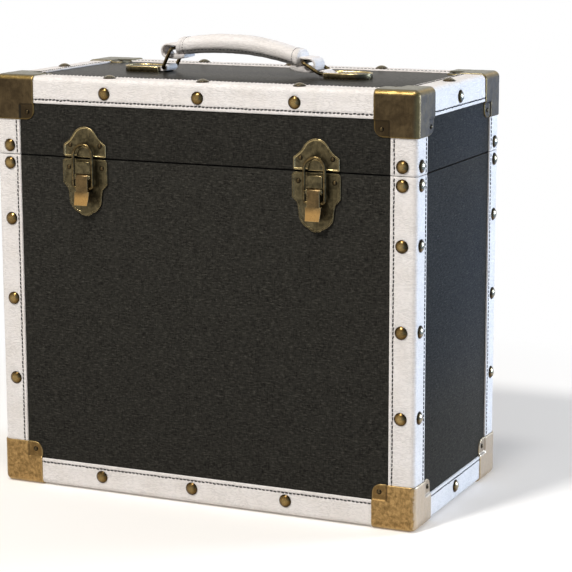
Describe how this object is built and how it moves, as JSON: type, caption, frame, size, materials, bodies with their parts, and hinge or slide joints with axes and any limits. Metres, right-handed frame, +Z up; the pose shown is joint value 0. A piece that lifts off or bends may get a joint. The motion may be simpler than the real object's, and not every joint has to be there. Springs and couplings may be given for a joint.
{
  "type": "record carrying case",
  "caption": "Boxed record carrying case with hinged lid, drawbolt latches, leather edge trims, brass corner protectors and a padded handle.",
  "frame": {"origin": "on the floor under the middle of the shut case", "axes": "+X to the right seen from the front, +Y to the back, +Z up; the latches face -Y"},
  "size_m": [0.3766, 0.2062, 0.378],
  "materials": {
    "vinyl": "woven-textured charcoal vinyl, satin",
    "white_leather": "pebbled warm white leather, sewn",
    "corner_brass": "antiqued pressed brass, worn bright at the edges",
    "hardware_brass": "antiqued pressed brass, satin",
    "wire_brass": "antiqued brass wire, polished by wear",
    "board": "raw fibreboard",
    "lining": "black woven lining",
    "thread": "waxed black thread"
  },
  "bodies": {
    "base": {"base_front_board": "board", "base_back_board": "board", "base_left_board": "board", "base_right_board": "board", "base_bottom_board": "board", "base_cover": "vinyl", "base_lining": "lining", "base_front_trim": "white_leather", "base_back_trim": "white_leather", "base_left_trim": "white_leather", "base_right_trim": "white_leather", "base_post_front_left": "white_leather", "base_post_front_right": "white_leather", "base_post_back_left": "white_leather", "base_post_back_right": "white_leather", "base_corner_front_left": "corner_brass", "base_corner_front_right": "corner_brass", "base_corner_back_left": "corner_brass", "base_corner_back_right": "corner_brass", "base_dome_nails": "hardware_brass", "base_small_nails": "hardware_brass", "latch_plate_left": "hardware_brass", "latch_plate_right": "hardware_brass", "lever_pins": "wire_brass", "hinge_base_leaf_left": "hardware_brass", "hinge_base_leaf_right": "hardware_brass", "hinge_pins": "wire_brass"},
    "lid": {"lid_front_board": "board", "lid_back_board": "board", "lid_left_board": "board", "lid_right_board": "board", "lid_top_board": "board", "lid_cover": "vinyl", "lid_lining": "lining", "lid_front_trim": "white_leather", "lid_back_trim": "white_leather", "lid_left_trim": "white_leather", "lid_right_trim": "white_leather", "lid_post_trims": "white_leather", "lid_corner_front_left": "corner_brass", "lid_corner_front_right": "corner_brass", "lid_corner_back_left": "corner_brass", "lid_corner_back_right": "corner_brass", "lid_dome_nails": "hardware_brass", "lid_small_nails": "hardware_brass", "strike_plate_left": "hardware_brass", "strike_plate_right": "hardware_brass", "hinge_lid_leaf_left": "hardware_brass", "hinge_lid_leaf_right": "hardware_brass", "handle_tab_left": "white_leather", "handle_tab_right": "white_leather", "handle_cap_left": "hardware_brass", "handle_cap_right": "hardware_brass"},
    "lever_left": {"latch_lever_left": "hardware_brass"},
    "lever_right": {"latch_lever_right": "hardware_brass"},
    "bail_left": {"latch_bail_left": "wire_brass"},
    "bail_right": {"latch_bail_right": "wire_brass"},
    "grip": {"handle_grip": "white_leather"},
    "ring_left": {"handle_ring_left": "wire_brass"},
    "ring_right": {"handle_ring_right": "wire_brass"}
  },
  "joints": [
    {"name": "lid_hinge", "type": "hinge", "parent": "base", "child": "lid", "pos_m": [0, 0.0988, 0.281], "axis": [-1, 0, 0], "range_deg": [0, 180]},
    {"name": "latch_lever_left", "type": "hinge", "parent": "base", "child": "lever_left", "pos_m": [-0.1026, -0.0994, 0.2658], "axis": [-1, 0, 0], "range_deg": [0, 90]},
    {"name": "latch_bail_left", "type": "hinge", "parent": "lever_left", "child": "bail_left", "pos_m": [-0.1026, -0.0994, 0.257], "axis": [-1, 0, 0], "range_deg": [-112.5, 0]},
    {"name": "latch_lever_right", "type": "hinge", "parent": "base", "child": "lever_right", "pos_m": [0.1026, -0.0994, 0.2658], "axis": [-1, 0, 0], "range_deg": [0, 90]},
    {"name": "latch_bail_right", "type": "hinge", "parent": "lever_right", "child": "bail_right", "pos_m": [0.1026, -0.0994, 0.257], "axis": [-1, 0, 0], "range_deg": [-112.5, 0]},
    {"name": "handle_ring_left", "type": "hinge", "parent": "lid", "child": "ring_left", "pos_m": [-0.07395, 0, 0.34836], "axis": [0, 1, 0], "range_deg": [0, 30]},
    {"name": "handle_grip", "type": "hinge", "parent": "ring_left", "child": "grip", "pos_m": [-0.06584, 0, 0.36499], "axis": [0, 1, 0], "range_deg": [-37, 0]},
    {"name": "handle_ring_right", "type": "hinge", "parent": "lid", "child": "ring_right", "pos_m": [0.06955, 0, 0.34836], "axis": [0, 1, 0], "range_deg": [0, 35]}
  ],
  "couplings": [
    {"joint": "latch_bail_left", "follows": "latch_lever_left", "ratio": -1.25},
    {"joint": "latch_bail_right", "follows": "latch_lever_right", "ratio": -1.25},
    {"joint": "handle_grip", "follows": "handle_ring_left", "ratio": -1.2228},
    {"joint": "handle_ring_right", "follows": "handle_ring_left", "ratio": 1.1645}
  ]
}
